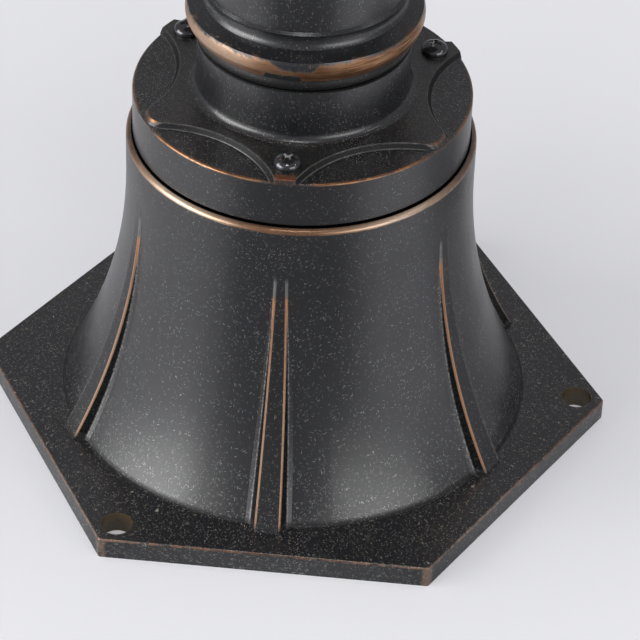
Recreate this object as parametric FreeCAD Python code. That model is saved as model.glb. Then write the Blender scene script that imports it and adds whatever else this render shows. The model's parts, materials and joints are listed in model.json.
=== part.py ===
import FreeCAD, Part
import math
import os
from FreeCAD import Placement, Rotation, Vector

# All sizes are in millimetres. The origin is on the ground at the middle of the foot plate,
# +Z points up, and the flat of the plate with a cap screw above it faces -Y.

# Layout round the axis, in degrees
side_count = 6
side_turn = 360 / side_count
first_side = side_turn / 2     # direction of the first flat side; the corners lie between the sides
screw_angles = (-90, 30, 150)
mount_hole_angles = (0, 120, 240)

# Foot plate
plate_across_flats = 170.0
plate_thickness = 7.0
plate_corner_radius = 1.0
plate_edge_radius = 0.7
mount_hole_radius = 4.75
mount_hole_inset = 8.65        # from the plate's sharp corner to the hole's centre

# Bell, cast in one with the plate
bell_height = 94.5
bell_rim_radius = 52.2
bell_rim_band = 13.5           # upright stretch under the rim, above the flare
bell_flare_radius = 172.0
bell_wall = 4.0
bell_rim_round = 1.6
bell_foot_fillet = 1.0
shelf_thickness = 5.0
shelf_bore_radius = 36.0

# Raised ribs, one down the middle of each side
rib_top_width = 2.0
rib_foot_width = 7.4
rib_foot_rise = 3.4
rib_middle_rise = 1.9
rib_fade_drop = 14.5           # from the rim down to where the rib dies into the bell
rib_fade_run = 3.0             # how far the rib's crest runs on under the bell's skin
rib_flank_run = 0.55           # sideways run of a flank for each millimetre of rise
rib_foot_round = 1.0           # fillet where a flank meets the bell
rib_fillet_parts = (1.0, 0.6, 0.25)
rib_sink = 0.3                 # how far the fillet's last stretch dips under the bell's skin
rib_sections = 6

# Cap with its raised star, and the neck on it
gasket_thickness = 0.8
gasket_width = 2.5
gasket_set_back = 0.8
cap_set_back = 2.0             # how much smaller the cap's radius is than the bell's rim
cap_band_height = 14.2
cap_wall = 3.5
cap_ceiling = 4.0
cap_edge_radius = 0.8
star_relief = 1.5
star_land = 2.8                # flat between the neck's fillet and the star's waist
star_scallop_radius = 35.5
star_wall_run = 1.2            # how far the sloped wall of the star runs out at its foot
star_tip_inset = 1.6           # from the cap's edge to the rounded end of a free tip
star_edge_radius = 0.5
neck_radius = 31.4
neck_height = 17.0
neck_wall = 3.6
neck_fillet = 2.6
neck_ceiling = 4.5
spigot_step = 4.9
spigot_height = 4.0

# Pan-head screws with a cross recess
screw_edge_distance = 7.2      # from the cap's edge to a screw's centre
screw_radius = 2.0
screw_head_radius = 4.0
screw_head_height = 3.1
screw_brim_height = 1.0
screw_length = 25.0
recess_width = 0.9
recess_span = 4.6
recess_depth = 1.5
screw_post_radius = 5.0
screw_boss_depth = 13.0
screw_way = 0.25               # clearance round a screw that passes through
screw_bite = 0.05              # clearance round a screw in its own thread

# Collar at the foot of the stem
collar_chamfer = 0.5
bead_height = 4.2
bead_step = 0.6
bead_bulge = 0.9
ring_height = 7.4
ring_step = 3.4
ring_foot_step = 0.6
ring_shoulder_inset = 0.6
ring_widest_share = 0.62       # where up the ring's height it is widest
ledge_rise = 1.6
ledge_depth = 4.9
cove_height = 4.6
cove_depth = 0.9
cove_lip = 0.8

# Stem above the collar; the shares place the poles of its two curves
vase_height = 46.0
vase_bulge = 3.0
vase_belly_share = 0.4
vase_turn_share = 0.75
vase_neck_share = 0.7
stem_waist_radius = 13.0
knuckle_height = 6.0
knuckle_bulge = 4.0
flare_height = 24.0
flare_rise_share = 0.6
flare_spread_share = 0.7
stem_flange_radius = 31.0
stem_flange_height = 5.0
stem_wall = 5.0
spigot_play = 0.2

# Threaded tube through the stem
tube_radius = 5.0
tube_bore_radius = 3.5
tube_way = 0.25
tube_below_nut = 3.0
tube_above_nut = 8.0
nut_across_flats = 17.0
nut_height = 6.0
washer_radius = 11.0
washer_thickness = 1.5

# Pan under the lantern
pan_foot_across = 112.0
pan_foot_height = 4.0
pan_across = 146.0
pan_thickness = 5.0
pan_edge_radius = 1.2

# Lantern frame, cast in one
cage_margin = 4.0              # the pan's edge stands this far outside the frame's foot
cage_spread = 22.0             # how far each side leans out from foot to top
cage_height = 186.0
cage_wall = 7.0
cage_bar_width = 9.5
cage_foot_rail = 12.0
cage_top_rail = 14.0
flange_lip = 7.0
flange_depth = 16.0
flange_thickness = 5.0
cage_screw_angles = (0, 120, 240)
cage_screw_inset = 4.2         # from the frame's foot corner to the screw's centre
cage_screw_depth = 10.0

# Glass and the tabs that hold it
glass_thickness = 3.0
glass_lap = 3.5
glass_play = 0.3
tab_width = 8.0
tab_thickness = 1.0
tab_on_rail = 6.0
tab_on_glass = 5.0
rivet_radius = 1.6
rivet_height = 0.8

# Bridge bar, stud and nuts that hold the roof down
bar_width = 16.0
bar_thickness = 3.0
bar_bearing = 7.0
bar_screw_spare = 1.0          # from the end of a screw to the underside of the flange
stud_radius = 3.0
stud_way = 0.3
stud_nut_across = 10.0
stud_nut_height = 5.0
stud_below_nut = 2.0
stud_in_finial = 14.0

# Roof and finial
roof_play = 0.5
roof_lip = 5.0                 # from the frame's flange to the fascia's face
eave_step = 4.0
eave_drop = 4.0
fascia_height = 4.0
roof_ledge = 5.0               # width of the ledge that rests on the flange
roof_rise = 60.0
roof_waist_across = 120.0
roof_waist_share = 0.42        # where up the roof's rise its waist lies
roof_top_across = 42.0
roof_top_wall = 4.0
roof_top_thickness = 8.0
roof_collar_step = 0.5
roof_collar_height = 5.0
seal_set_back = 1.5
seal_thickness = 2.0
finial_foot_radius = 12.5
finial_foot_height = 5.0
finial_neck_radius = 6.0
finial_neck_height = 8.0
finial_ball_radius = 11.5
finial_tip_radius = 1.5
finial_tip_height = 8.0

# Screw lampholder and lamp
holder_radius = 20.0
holder_height = 48.0
holder_edge_radius = 2.5
holder_floor = 12.0
holder_bore_radius = 15.0
shell_wall = 0.6
shell_height = 26.0
shell_play = 0.1
contact_radius = 4.0
contact_height = 2.5
lamp_cap_play = 0.3
lamp_cap_height = 24.0
lamp_tip_radius = 5.0
lamp_tip_height = 3.0
lamp_globe_radius = 30.0
lamp_length = 106.0
lamp_cheek_angle = 20          # below the globe's middle, where the neck runs into the globe
lamp_neck_share = 0.45
lamp_throat_share = 0.3

# Terminal block and earth point under the shelf
block_length = 26.0
block_depth = 14.0
block_height = 13.0
block_gap = 0.9                # from the block's far corners to the bell's inner wall
block_angle = 90
block_pole_pitch = 16.0
block_entry_radius = 1.8
block_well_radius = 2.3
block_well_depth = 5.0
pole_screw_radius = 2.0
pole_screw_height = 3.0
fixing_radius = 1.5
fixing_head_radius = 2.6
fixing_head_height = 1.8
fixing_depth = 3.5
earth_angle = -150
earth_boss_depth = 8.0
earth_screw_length = 8.0
earth_washer_radius = 4.8
earth_washer_thickness = 1.0

# Radii and widths that follow from those
cap_radius = bell_rim_radius - cap_set_back
screw_circle_radius = cap_radius - screw_edge_distance
star_waist_radius = neck_radius + neck_fillet + star_land
spigot_radius = neck_radius - spigot_step
bead_radius = neck_radius + bead_step
ring_radius = neck_radius + ring_step
ledge_inner_radius = ring_radius - ledge_depth
cage_foot_across = pan_across - 2 * cage_margin
cage_top_across = cage_foot_across + 2 * cage_spread
flange_across = cage_top_across + 2 * flange_lip
flange_bore = cage_top_across - 2 * flange_depth
fascia_across = flange_across + 2 * roof_lip
eave_across = fascia_across + 2 * eave_step
shell_radius = holder_bore_radius - shell_play
bell_bore_radius = bell_rim_radius - bell_wall
block_far = math.sqrt((bell_bore_radius - block_gap) ** 2 - (block_length / 2) ** 2)
block_middle = block_far - block_depth / 2

# Levels up the axis
plate_top = plate_thickness
bell_top = plate_top + bell_height
flare_start = bell_top - bell_rim_band
shelf_under = bell_top - shelf_thickness
cap_foot = bell_top + gasket_thickness
star_foot = cap_foot + cap_band_height
cap_top = star_foot + star_relief
neck_top = cap_top + neck_height
neck_ceiling_under = neck_top - neck_ceiling
bead_top = neck_top + bead_height
ring_top = bead_top + ring_height
ledge_top = ring_top + ledge_rise
cove_top = ledge_top + cove_height
vase_foot = cove_top + cove_lip
vase_top = vase_foot + vase_height
knuckle_top = vase_top + knuckle_height
flare_top = knuckle_top + flare_height
stem_top = flare_top + stem_flange_height
pan_step = stem_top + pan_foot_height
pan_top = pan_step + pan_thickness
cage_top = pan_top + cage_height
flange_top = cage_top + flange_thickness
roof_foot = flange_top - eave_drop
fascia_top = flange_top + fascia_height
roof_top = fascia_top + roof_rise
collar_top = roof_top + roof_collar_height
finial_foot = collar_top + seal_thickness
holder_foot = pan_top + washer_thickness + nut_height
tube_top = holder_foot + tube_above_nut
holder_seat = holder_foot + holder_floor
lamp_foot = holder_seat + contact_height
block_under = shelf_under - block_height
earth_seat = shelf_under - earth_boss_depth

over = 1.0                     # how far a cutter runs past what it cuts
same = 1e-4                    # two levels or radii closer than this are the same
axis = Vector(0, 0, 1)


def point(radius, height):
    return Vector(radius, 0, height)


def polar(radius, angle, height=0.0):
    turn = math.radians(angle)
    return Vector(radius * math.cos(turn), radius * math.sin(turn), height)


def turned(*steps):
    """Solid of revolution: each step is a point, or a curve that starts where the last one ended."""
    edges = []
    last = None
    for step in list(steps) + [steps[0]]:
        if isinstance(step, Vector):
            if last is not None and (step - last).Length > same:
                edges.append(Part.LineSegment(last, step).toShape())
            last = step
        else:
            edges.append(step.toShape())
            last = edges[-1].Vertexes[-1].Point
    return Part.Face(Part.Wire(edges)).revolve(Vector(), axis, 360)


def curve(*poles):
    shape = Part.BezierCurve()
    shape.setPoles(list(poles))
    return shape


def dome(radius, low, high):
    """Arc from the rim of a spherical dome to its crown."""
    rise = high - low
    sphere = (radius ** 2 + rise ** 2) / (2 * rise)
    half = math.asin(radius / sphere) / 2
    middle = point(sphere * math.sin(half), high - sphere * (1 - math.cos(half)))
    return Part.Arc(point(radius, low), middle, point(0, high))


def rod(radius, bottom, top, place=Vector()):
    return Part.makeCylinder(radius, top - bottom, Vector(place.x, place.y, bottom))


def washer(outer, inner, bottom, thickness, place=Vector()):
    disc = rod(outer, bottom, bottom + thickness, place)
    return disc.cut(rod(inner, bottom - over, bottom + thickness + over, place))


def slab(low, high):
    return Part.makeBox(high.x - low.x, high.y - low.y, high.z - low.z, low)


def hex_wire(across_flats, height):
    corner = across_flats / math.sqrt(3)
    return Part.makePolygon([polar(corner, side_turn * k, height) for k in range(side_count + 1)])


def hex_prism(across_flats, bottom, top):
    return Part.Face(hex_wire(across_flats, bottom)).extrude(axis * (top - bottom))


def hex_loft(*sections, ruled=True):
    return Part.makeLoft([hex_wire(across, height) for across, height in sections], True, ruled)


def nut(across_flats, bottom, height, bore):
    body = hex_prism(across_flats, bottom, bottom + height)
    return body.cut(rod(bore, bottom - over, bottom + height + over))


def turn_to(shape, angle):
    copy = shape.copy()
    copy.rotate(Vector(), axis, angle)
    return copy


def is_level(edge, height):
    return all(abs(vertex.Z - height) < same for vertex in edge.Vertexes)


def reach(edge):
    """How far the start of an edge lies from the axis."""
    return math.hypot(edge.Vertexes[0].X, edge.Vertexes[0].Y)


def level_edges(shape, height):
    return [edge for edge in shape.Edges if is_level(edge, height)]


def screw_places():
    return [polar(screw_circle_radius, angle) for angle in screw_angles]


def earth_place():
    return polar(screw_circle_radius, earth_angle)


def block_place():
    return polar(block_middle, block_angle)


def cage_screw_places():
    circle = cage_foot_across / math.sqrt(3) - cage_screw_inset
    return [polar(circle, angle) for angle in cage_screw_angles]


def bar_screw_places():
    middle = (flange_bore + bar_bearing) / 2
    return [Vector(0, middle, 0), Vector(0, -middle, 0)]


def pan_screw(length, place, head_down=False):
    """Pan-head screw with a cross recess; its head stands on the given place."""
    brim = point(screw_head_radius, screw_brim_height)
    head = turned(Vector(), point(screw_head_radius, 0), brim,
                  dome(screw_head_radius, screw_brim_height, screw_head_height))
    body = head.fuse(rod(screw_radius, -length, screw_brim_height)).removeSplitter()
    for turn in (45, 135):
        bar = slab(Vector(-recess_span / 2, -recess_width / 2, screw_head_height - recess_depth),
                   Vector(recess_span / 2, recess_width / 2, screw_head_height + over))
        body = body.cut(turn_to(bar, turn))
    if head_down:
        body.rotate(Vector(), Vector(1, 0, 0), 180)
    body.translate(place)
    return body


def bell_radius_at(height):
    """Outer radius of the bell: upright under the rim, then one arc down to the plate."""
    drop = max(flare_start - height, 0)
    return bell_rim_radius + bell_flare_radius - math.sqrt(bell_flare_radius ** 2 - drop ** 2)


def bell_body(inset, bottom, top):
    """The bell as a solid, its skin moved inwards by inset, from one level to another."""
    low = point(bell_radius_at(bottom) - inset, bottom)
    middle = (bottom + flare_start) / 2
    bow = point(bell_radius_at(middle) - inset, middle)
    high = point(bell_rim_radius - inset, flare_start)
    return turned(point(0, bottom), low, Part.Arc(low, bow, high), point(high.x, top), point(0, top))


def rib_section(height, rise):
    """Level section of a rib: drafted flanks, each of which ends in a small fillet on the bell."""
    share = (bell_top - height) / bell_height
    half = (rib_top_width + (rib_foot_width - rib_top_width) * share) / 2
    bell = bell_radius_at(height)
    slope = math.atan(1 / rib_flank_run)
    flank_foot = half + rise * rib_flank_run
    lift = rib_foot_rise + over
    outline = [(bell + lift, flank_foot - lift * rib_flank_run)]
    for part in rib_fillet_parts:
        turn = slope * part
        run = rib_foot_round * (math.tan(slope / 2) - math.sin(turn))
        outline.append((bell + rib_foot_round * (1 - math.cos(turn)), flank_foot + run))
    sunk = rib_foot_round * rib_sink
    outline.append((bell - sunk, outline[-1][1] + sunk / math.tan(turn)))
    outline.append((bell - bell_wall, outline[-1][1]))
    corners = [Vector(out, -aside, height) for out, aside in outline]
    corners += [Vector(out, aside, height) for out, aside in reversed(outline)]
    return Part.makePolygon(corners + corners[:1])


def ribs():
    """Ribs whose crest follows one circle and dies into the bell below the rim."""
    fade = bell_top - rib_fade_drop
    middle = (fade + plate_top) / 2
    crest = Part.Circle(point(bell_radius_at(fade), fade),
                        point(bell_radius_at(middle) + rib_middle_rise, middle),
                        point(bell_radius_at(plate_top) + rib_foot_rise, plate_top))

    def crest_at(height):
        drop = height - crest.Center.z
        return point(crest.Center.x - math.sqrt(crest.Radius ** 2 - drop ** 2), height)

    low = plate_top / 2
    high = fade + rib_fade_run
    core = bell_bore_radius - bell_wall
    foot = crest_at(low)
    bow = crest_at((low + high) / 2)
    skin = turned(point(core, low), foot, Part.Arc(foot, bow, crest_at(high)), point(core, high))
    sections = []
    for step in range(rib_sections):
        height = low - over + (high - low + 2 * over) * step / (rib_sections - 1)
        sections.append(rib_section(height, crest_at(height).x - bell_radius_at(height)))
    wedge = Part.makeLoft(sections, True, False)
    return [skin.common(turn_to(wedge, first_side + side_turn * k)) for k in range(side_count)]


def foot_plate():
    plate = hex_prism(plate_across_flats, 0, plate_top)
    uprights = [edge for edge in plate.Edges if not is_level(edge, 0) and not is_level(edge, plate_top)]
    plate = plate.makeFillet(plate_corner_radius, uprights)
    return plate.makeFillet(plate_edge_radius, level_edges(plate, plate_top))


def base_casting():
    bell = bell_body(0, plate_top / 2, bell_top)
    bell = bell.makeFillet(bell_rim_round, level_edges(bell, bell_top))
    body = foot_plate().fuse(bell)
    foot_radius = bell_radius_at(plate_top)
    crease = [edge for edge in level_edges(body, plate_top) if abs(reach(edge) - foot_radius) < same]
    body = body.makeFillet(bell_foot_fillet, crease)
    body = body.fuse(ribs()).removeSplitter()
    hollow = bell_body(bell_wall, -over, shelf_under)
    body = body.cut(hollow.fuse(rod(shelf_bore_radius, shelf_under - over, bell_top + over)))
    bosses = [rod(screw_post_radius, shelf_under - screw_boss_depth, bell_top - over, place)
              for place in screw_places()]
    bosses.append(rod(screw_post_radius, earth_seat, bell_top - over, earth_place()))
    body = body.fuse(bosses).removeSplitter()
    hole_circle = plate_across_flats / math.sqrt(3) - mount_hole_inset
    cutters = [rod(mount_hole_radius, -over, plate_top + over, polar(hole_circle, angle))
               for angle in mount_hole_angles]
    thread = screw_radius + screw_bite
    thread_end = cap_top - screw_length - over
    cutters += [rod(thread, thread_end, bell_top + over, place) for place in screw_places()]
    cutters.append(rod(thread, earth_seat - over, earth_seat + earth_screw_length, earth_place()))
    fixing_end = shelf_under + fixing_depth
    cutters.append(rod(fixing_radius + screw_bite, shelf_under - over, fixing_end, block_place()))
    return body.cut(cutters)


def cap_gasket():
    outer = cap_radius - gasket_set_back
    return washer(outer, outer - gasket_width, bell_top, gasket_thickness)


def scallop_cutters():
    """One hollow beside the star: a sloped scallop, and the rounded edge of the cap along it."""
    centre = polar(star_waist_radius + star_scallop_radius, 0)
    foot_radius = star_scallop_radius - star_wall_run
    scallop = Part.makeCone(foot_radius, star_scallop_radius, star_relief, centre + axis * star_foot)
    lid = rod(star_scallop_radius, cap_top, cap_top + over, centre)
    inner = cap_radius - cap_edge_radius
    below = star_foot - cap_edge_radius
    diagonal = cap_edge_radius * math.sin(math.pi / 4)
    start = point(inner, star_foot)
    end = point(cap_radius, below)
    bend = Part.Arc(start, point(inner + diagonal, below + diagonal), end)
    rim = cap_radius + over
    brink = turned(start, bend, point(rim, below), point(rim, star_foot))
    return [scallop, lid, brink.common(rod(foot_radius, below - over, star_foot + over, centre))]


def tip_cutter():
    """Rounds the end of a free tip of the star, tangent to the scallops on both sides."""
    tip_end = cap_radius - star_tip_inset
    scallop = polar(star_waist_radius + star_scallop_radius, side_turn / 2)
    run = scallop.x - tip_end
    radius = (scallop.y ** 2 + run ** 2 - star_scallop_radius ** 2) / (2 * (star_scallop_radius - run))
    centre = point(tip_end - radius, 0)
    lean = (scallop.x - centre.x) / (star_scallop_radius + radius)
    slope = lean * star_wall_run / star_relief
    start = centre.x + lean * radius
    rim = cap_radius + over
    lid = cap_top + over
    side = rim * math.sin(math.radians(side_turn / 2))
    corners = [Vector(start + slope * star_relief, -side, star_foot), Vector(rim, -side, star_foot),
               Vector(rim, -side, lid), Vector(start - slope * over, -side, lid)]
    block = Part.Face(Part.makePolygon(corners + corners[:1])).extrude(Vector(0, 2 * side, 0))
    keep = Part.makeCone(radius + star_wall_run, radius, star_relief, centre + axis * star_foot)
    return block.cut(keep.fuse(rod(radius, cap_top, lid + over, centre)))


def cap_casting():
    disc = rod(cap_radius, cap_foot, cap_top)
    body = disc.fuse(rod(neck_radius, cap_top - over, neck_top)).removeSplitter()
    neck_foot = [edge for edge in level_edges(body, cap_top) if reach(edge) < neck_radius + over]
    body = body.makeFillet(neck_fillet, neck_foot)
    body = body.makeChamfer(collar_chamfer, level_edges(body, neck_top))
    body = body.fuse(rod(spigot_radius, neck_top - over, neck_top + spigot_height))
    cutters = []
    for k in range(side_count):
        cutters += [turn_to(cutter, side_turn * k) for cutter in scallop_cutters()]
    cutters += [turn_to(tip_cutter(), angle + 180) for angle in screw_angles]
    body = body.cut(cutters)
    star_edges = [edge for edge in level_edges(body, cap_top) if isinstance(edge.Curve, Part.Circle)
                  and abs(edge.Curve.Radius - star_scallop_radius) < same]
    body = body.makeFillet(star_edge_radius, star_edges)
    ceiling = star_foot - cap_ceiling
    hollow = rod(cap_radius - cap_wall, cap_foot - over, ceiling)
    body = body.cut(hollow.fuse(rod(neck_radius - neck_wall, ceiling - over, neck_ceiling_under)))
    posts = [rod(screw_post_radius, cap_foot, ceiling + over, place) for place in screw_places()]
    body = body.fuse(posts).removeSplitter()
    way = screw_radius + screw_way
    ways = [rod(way, cap_foot - over, cap_top + over, place) for place in screw_places()]
    ways.append(rod(tube_radius + tube_way, neck_ceiling_under - over, neck_top + spigot_height + over))
    return body.cut(ways)


def cap_screws():
    return [pan_screw(screw_length, place + axis * cap_top) for place in screw_places()]


def stem_casting():
    foot = point(bead_radius - bead_bulge - collar_chamfer, neck_top)
    bead_foot = point(bead_radius - bead_bulge, neck_top + collar_chamfer)
    bead_end = point(bead_foot.x, bead_top)
    bead = Part.Arc(bead_foot, point(bead_radius, (bead_foot.z + bead_top) / 2), bead_end)
    ring_start = point(neck_radius + ring_foot_step, bead_top)
    ring_end = point(ring_radius - ring_shoulder_inset, ring_top)
    ring = Part.Arc(ring_start, point(ring_radius, bead_top + ring_height * ring_widest_share), ring_end)
    ledge = point(ledge_inner_radius, ledge_top)
    cove_end = point(ledge_inner_radius, cove_top)
    cove = Part.Arc(ledge, point(ledge_inner_radius - cove_depth, (ledge_top + cove_top) / 2), cove_end)
    shoulder = point(ledge_inner_radius - cove_lip, vase_foot)
    waist = point(stem_waist_radius, vase_top)
    vase = curve(shoulder, point(shoulder.x + vase_bulge, vase_foot + vase_height * vase_belly_share),
                 point(shoulder.x, vase_foot + vase_height * vase_turn_share),
                 point(stem_waist_radius, vase_foot + vase_height * vase_neck_share), waist)
    knuckle_end = point(stem_waist_radius, knuckle_top)
    knuckle_widest = point(stem_waist_radius + knuckle_bulge, (vase_top + knuckle_top) / 2)
    knuckle = Part.Arc(waist, knuckle_widest, knuckle_end)
    flare = curve(knuckle_end, point(stem_waist_radius, knuckle_top + flare_height * flare_rise_share),
                  point(stem_flange_radius * flare_spread_share, flare_top),
                  point(stem_flange_radius, flare_top))
    skin = turned(point(0, neck_top), foot, bead_foot, bead, ring_start, ring, ledge, cove, shoulder, vase,
                  knuckle, flare, point(stem_flange_radius, stem_top), point(0, stem_top))
    socket = spigot_radius + spigot_play
    socket_top = neck_top + spigot_height + spigot_play
    way = tube_radius + tube_way
    cavity = shoulder.x - stem_wall
    hollow = turned(point(0, neck_top - over), point(socket, neck_top - over), point(socket, socket_top),
                    point(cavity, socket_top), point(cavity, vase_foot),
                    point(way, vase_foot + vase_height * vase_neck_share), point(way, stem_top + over),
                    point(0, stem_top + over))
    return skin.cut(hollow)


def tie_tube():
    bottom = neck_ceiling_under - washer_thickness - nut_height - tube_below_nut
    return washer(tube_radius, tube_bore_radius, bottom, tube_top - bottom)


def tie_washer():
    bottom = neck_ceiling_under - washer_thickness
    return washer(washer_radius, tube_radius + tube_way, bottom, washer_thickness)


def tie_nut():
    bottom = neck_ceiling_under - washer_thickness - nut_height
    return nut(nut_across_flats, bottom, nut_height, tube_radius + screw_bite)


def lantern_pan():
    upper = hex_prism(pan_across, pan_step, pan_top)
    upper = upper.makeFillet(pan_edge_radius, level_edges(upper, pan_step))
    body = upper.fuse(hex_prism(pan_foot_across, stem_top, pan_step)).removeSplitter()
    cutters = [rod(tube_radius + tube_way, stem_top - over, pan_top + over)]
    cutters += [rod(screw_radius + screw_way, pan_step - over, pan_top + over, place)
                for place in cage_screw_places()]
    return body.cut(cutters)


def pan_washer():
    return washer(washer_radius, tube_radius + tube_way, pan_top, washer_thickness)


def pan_nut():
    return nut(nut_across_flats, pan_top + washer_thickness, nut_height, tube_radius + screw_bite)


# The frame's sides lean outwards; heights on a side are measured up its slope
cage_lean = math.atan(cage_spread / cage_height)
side_length = cage_height / math.cos(cage_lean)
window_head = side_length - cage_top_rail
glass_foot = cage_foot_rail - glass_lap
glass_head = window_head + glass_lap


def half_side(up):
    """Half the width of the frame's outer side, a distance up its slope."""
    return (cage_foot_across / 2 + up * math.sin(cage_lean)) / math.sqrt(3)


def on_side(shape, number):
    """Moves a shape from a side's own frame, x along it, y up its slope and z outwards, to its place."""
    up = Vector(math.sin(cage_lean), 0, math.cos(cage_lean))
    out = Vector(math.cos(cage_lean), 0, -math.sin(cage_lean))
    stand = Placement(Vector(cage_foot_across / 2, 0, pan_top), Rotation(Vector(0, 1, 0), up, out, "XYZ"))
    copy = shape.copy()
    copy.Placement = Placement(Vector(), Rotation(axis, first_side + side_turn * number)) * stand
    return copy


def side_plate(low, high, margin, inner, outer):
    """Flat plate in a side's own frame, as wide as the side less a margin at both edges."""
    half_low = half_side(low) - margin
    half_high = half_side(high) - margin
    corners = [Vector(-half_low, low, inner), Vector(half_low, low, inner),
               Vector(half_high, high, inner), Vector(-half_high, high, inner)]
    return Part.Face(Part.makePolygon(corners + corners[:1])).extrude(axis * (outer - inner))


def lantern_cage():
    wall = 2 * cage_wall / math.cos(cage_lean)
    below = 2 * over * math.tan(cage_lean)
    body = hex_loft((cage_foot_across, pan_top), (cage_top_across, cage_top))
    body = body.cut(hex_loft((cage_foot_across - wall - below, pan_top - over),
                             (cage_top_across - wall, cage_top)))
    flange = hex_prism(flange_across, cage_top, flange_top)
    body = body.fuse(flange.cut(hex_prism(flange_bore, cage_top - over, flange_top + over)))
    window = side_plate(cage_foot_rail, window_head, cage_bar_width, -cage_wall - over, over)
    rebate = side_plate(glass_foot, glass_head, cage_bar_width - glass_lap,
                        -cage_wall - over, glass_thickness - cage_wall)
    cutters = []
    for number in range(side_count):
        cutters += [on_side(window, number), on_side(rebate, number)]
    thread = screw_radius + screw_bite
    cutters += [rod(thread, pan_top - over, pan_top + cage_screw_depth + over, place)
                for place in cage_screw_places()]
    cutters += [rod(thread, cage_top - over, flange_top + over, place) for place in bar_screw_places()]
    return body.cut(cutters)


def cage_screws():
    length = pan_thickness + cage_screw_depth
    return [pan_screw(length, place + axis * pan_step, head_down=True) for place in cage_screw_places()]


def glass_pane(number):
    margin = cage_bar_width - glass_lap + glass_play
    pane = side_plate(glass_foot + glass_play, glass_head - glass_play, margin,
                      -cage_wall, glass_thickness - cage_wall)
    return on_side(pane, number)


def glass_tabs():
    """Two riveted tabs for each pane, lying on the rail's inner face and lapping over the glass."""
    tabs = []
    for edge, inward in ((glass_foot, 1), (glass_head, -1)):
        low = min(edge - inward * tab_on_rail, edge + inward * tab_on_glass)
        strip = slab(Vector(-tab_width / 2, low, -cage_wall - tab_thickness),
                     Vector(tab_width / 2, low + tab_on_rail + tab_on_glass, -cage_wall))
        rivet = rod(rivet_radius, -cage_wall - tab_thickness - rivet_height, -cage_wall - tab_thickness / 2,
                    Vector(0, edge - inward * tab_on_rail / 2, 0))
        tab = strip.fuse(rivet).removeSplitter()
        tabs += [on_side(tab, number) for number in range(side_count)]
    return tabs


def bridge_bar():
    half = flange_bore / 2 + bar_bearing
    top = flange_top + bar_thickness
    bar = slab(Vector(-bar_width / 2, -half, flange_top), Vector(bar_width / 2, half, top))
    cutters = [rod(stud_radius + stud_way, flange_top - over, top + over)]
    way = screw_radius + screw_way
    cutters += [rod(way, flange_top - over, top + over, place) for place in bar_screw_places()]
    return bar.cut(cutters)


def bridge_screws():
    length = bar_thickness + flange_thickness - bar_screw_spare
    return [pan_screw(length, place + axis * (flange_top + bar_thickness)) for place in bar_screw_places()]


def roof_stud():
    return rod(stud_radius, flange_top - stud_nut_height - stud_below_nut, finial_foot + stud_in_finial)


def stud_nuts():
    bore = stud_radius + screw_bite
    lower = nut(stud_nut_across, flange_top - stud_nut_height, stud_nut_height, bore)
    upper = nut(stud_nut_across, flange_top + bar_thickness, stud_nut_height, bore)
    return [lower, upper]


def roof():
    waist = fascia_top + roof_rise * roof_waist_share
    hips = hex_loft((fascia_across, fascia_top), (roof_waist_across, waist), (roof_top_across, roof_top),
                    ruled=False)
    eave = hex_prism(eave_across, roof_foot, flange_top)
    fascia = hex_prism(fascia_across, flange_top, fascia_top)
    collar = rod(finial_foot_radius + roof_collar_step, roof_top - over, collar_top)
    body = hips.fuse([eave, fascia, collar]).removeSplitter()
    cavity_top = roof_top - roof_top_thickness
    cavity = hex_loft((flange_across - 2 * roof_ledge, flange_top),
                      (roof_top_across - 2 * roof_top_wall, cavity_top))
    seat = hex_prism(flange_across + 2 * roof_play, roof_foot - over, flange_top)
    return body.cut([cavity, seat, rod(stud_radius + stud_way, cavity_top - over, collar_top + over)])


def roof_seal():
    return washer(finial_foot_radius - seal_set_back, stud_radius + stud_way, collar_top, seal_thickness)


def finial():
    foot_top = finial_foot + finial_foot_height
    rim = point(finial_foot_radius, foot_top)
    ball_start = point(finial_neck_radius, foot_top + finial_neck_height)
    ball_rise = math.sqrt(finial_ball_radius ** 2 - finial_neck_radius ** 2)
    ball_end = point(finial_neck_radius, ball_start.z + 2 * ball_rise)
    ball = Part.Arc(ball_start, point(finial_ball_radius, ball_start.z + ball_rise), ball_end)
    neck = curve(rim, point(finial_neck_radius, foot_top), ball_start)
    spire = curve(ball_end, point(finial_tip_radius, ball_end.z), point(0, ball_end.z + finial_tip_height))
    body = turned(point(0, finial_foot), point(finial_foot_radius, finial_foot), rim, neck, ball, spire)
    return body.cut(rod(stud_radius + screw_bite, finial_foot - over, finial_foot + stud_in_finial))


def lampholder_body():
    top = holder_foot + holder_height
    skin = rod(holder_radius, holder_foot, top)
    skin = skin.makeFillet(holder_edge_radius, level_edges(skin, top) + level_edges(skin, holder_foot))
    return skin.cut([rod(holder_bore_radius, holder_seat, top + over),
                     rod(tube_radius + screw_bite, holder_foot - over, tube_top),
                     rod(tube_bore_radius, tube_top - over, holder_seat + over)])


def lampholder_shell():
    return washer(shell_radius, shell_radius - shell_wall, holder_seat, shell_height)


def lampholder_contact():
    return rod(contact_radius, holder_seat, lamp_foot)


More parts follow.
